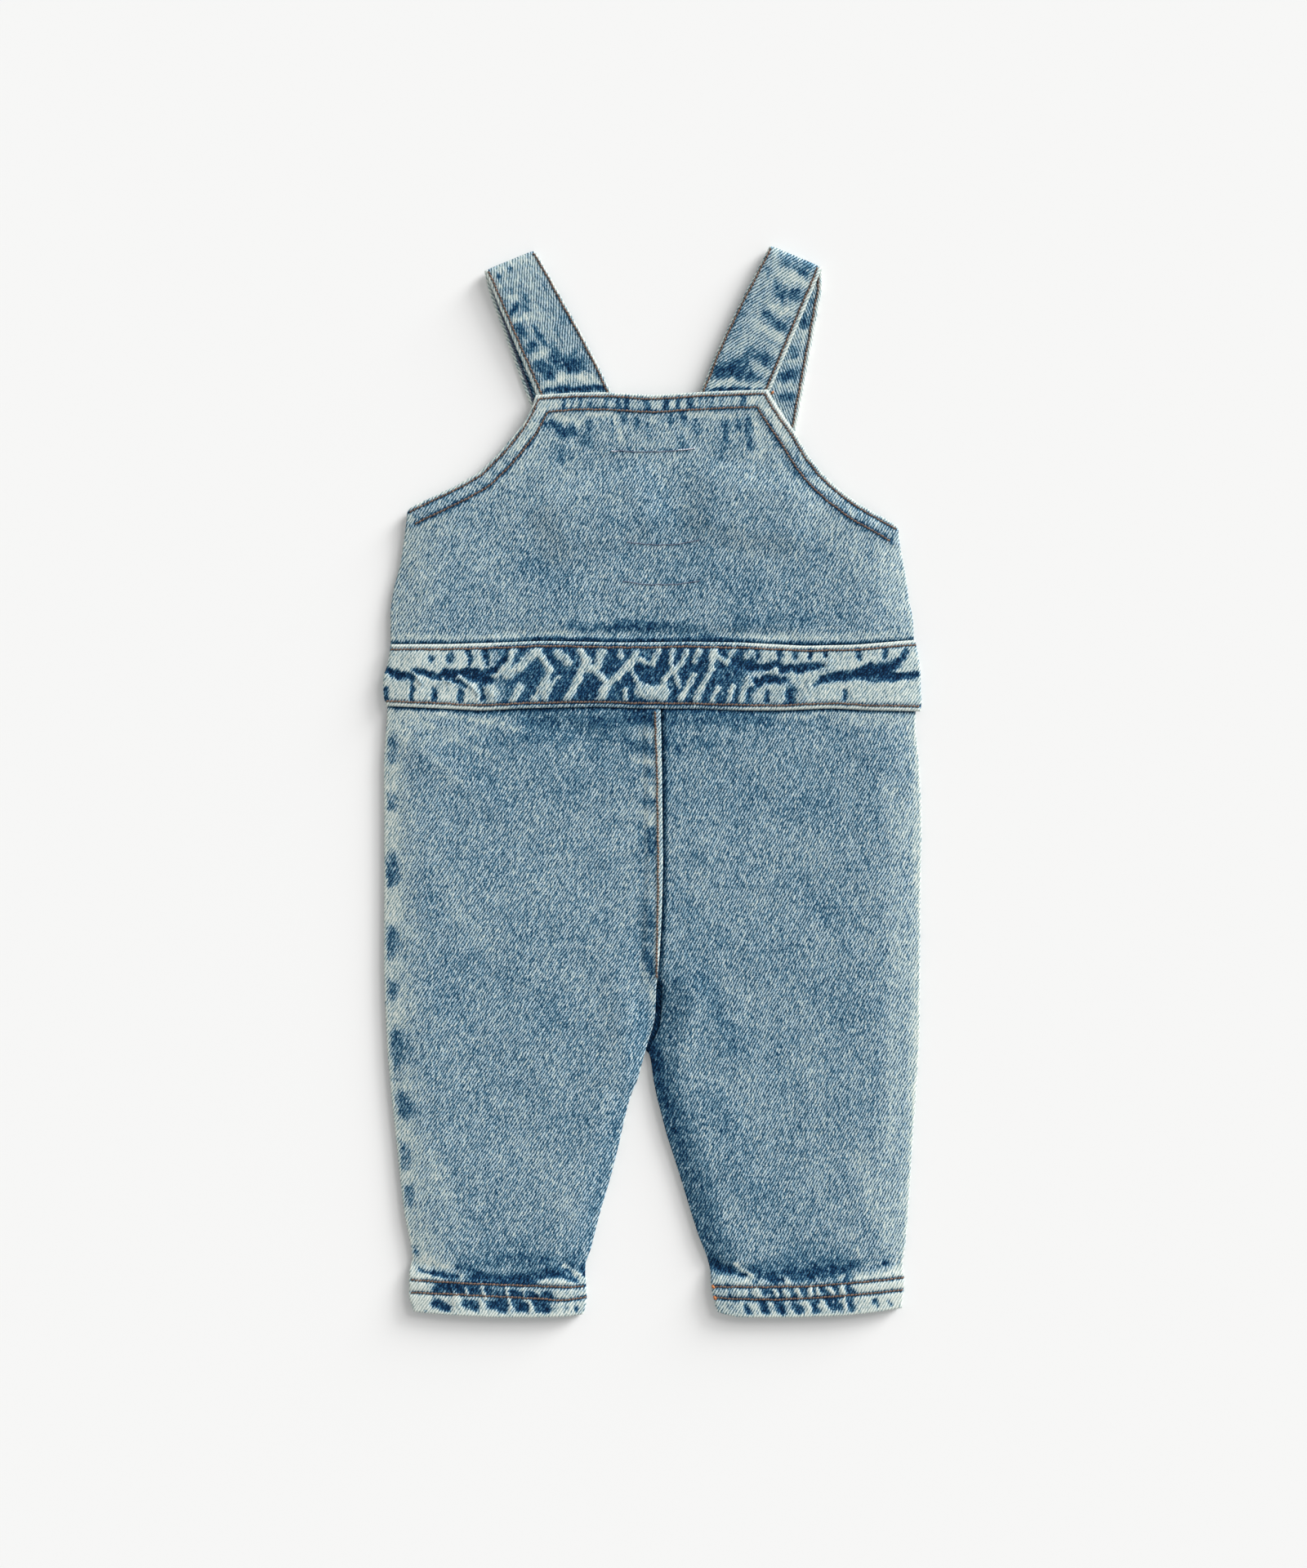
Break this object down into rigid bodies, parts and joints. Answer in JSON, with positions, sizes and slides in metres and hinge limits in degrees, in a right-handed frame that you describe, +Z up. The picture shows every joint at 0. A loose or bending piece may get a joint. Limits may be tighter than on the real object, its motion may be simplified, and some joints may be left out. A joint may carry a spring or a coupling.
{
  "type": "baby denim dungarees laid flat",
  "caption": "Baby's light-wash denim dungarees laid flat with the back up: bib, waistband, two legs with turned hems, and shoulder straps folded under.",
  "frame": {"origin": "on the resting surface, under the middle of the garment's overall box", "axes": "+Y from the hems towards the shoulder straps along the garment's length, +Z up out of the back, +X to the right as seen from above"},
  "size_m": [0.2638, 0.5258, 0.0079],
  "materials": {
    "denim": "light acid-washed blue denim twill, worn pale on raised edges",
    "denim_waistband": "puckered blue denim twill, dark in the hollows and cream on the ridges",
    "denim_strap": "doubled light-wash denim strip with cream worn edges",
    "thread": "brown topstitching thread, bartacks in orange",
    "button_metal": "plain worn metal button"
  },
  "bodies": {
    "root": {"back_bib": "denim", "back_waistband": "denim_waistband", "back_leg_left": "denim", "back_leg_right": "denim", "strap_left": "denim_strap", "strap_right": "denim_strap", "front_bib": "denim", "front_waistband": "denim_waistband", "front_leg_left": "denim", "front_leg_right": "denim", "button_left": "button_metal", "button_right": "button_metal"}
  },
  "joints": []
}
